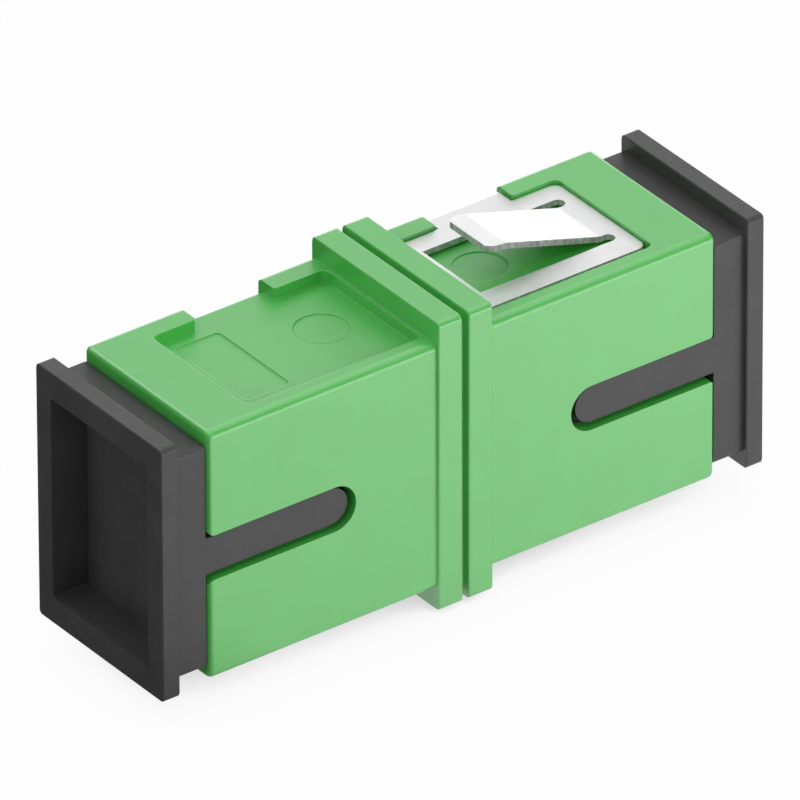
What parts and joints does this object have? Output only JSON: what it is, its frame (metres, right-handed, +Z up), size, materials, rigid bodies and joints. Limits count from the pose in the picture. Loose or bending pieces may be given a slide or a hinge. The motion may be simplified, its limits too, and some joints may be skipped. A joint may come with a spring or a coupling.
{
  "type": "fibre optic adapter",
  "caption": "Snap-in simplex fibre coupling: green two-part housing with a mid flange, spring steel panel clip, alignment sleeve inside and black dust caps in both ports.",
  "frame": {"origin": "middle of the alignment sleeve, on the fibre's axis, in the plane where the two housing halves meet", "axes": "+X along the fibre, towards the half that carries the clip; +Z up, towards the face with the raised clip tab; -Y towards the keyways"},
  "size_m": [0.0336, 0.0096, 0.016],
  "materials": {
    "green_plastic": "satin moulded",
    "holder_plastic": "satin moulded",
    "ceramic": "polished",
    "spring_steel": "rolled sheet",
    "black_plastic": "fine grain"
  },
  "bodies": {
    "adapter": {"housing_left": "green_plastic", "housing_right": "green_plastic", "sleeve_holder_left": "holder_plastic", "sleeve_holder_right": "holder_plastic", "split_sleeve": "ceramic", "spring_clip": "spring_steel"},
    "left_cap": {"dust_cap_left": "black_plastic"},
    "right_cap": {"dust_cap_right": "black_plastic"}
  },
  "joints": [
    {"name": "left_cap_pull", "type": "slide", "parent": "adapter", "child": "left_cap", "axis": [-1, 0, 0], "range_m": [0, 0.02]},
    {"name": "right_cap_pull", "type": "slide", "parent": "adapter", "child": "right_cap", "axis": [1, 0, 0], "range_m": [0, 0.02]}
  ]
}
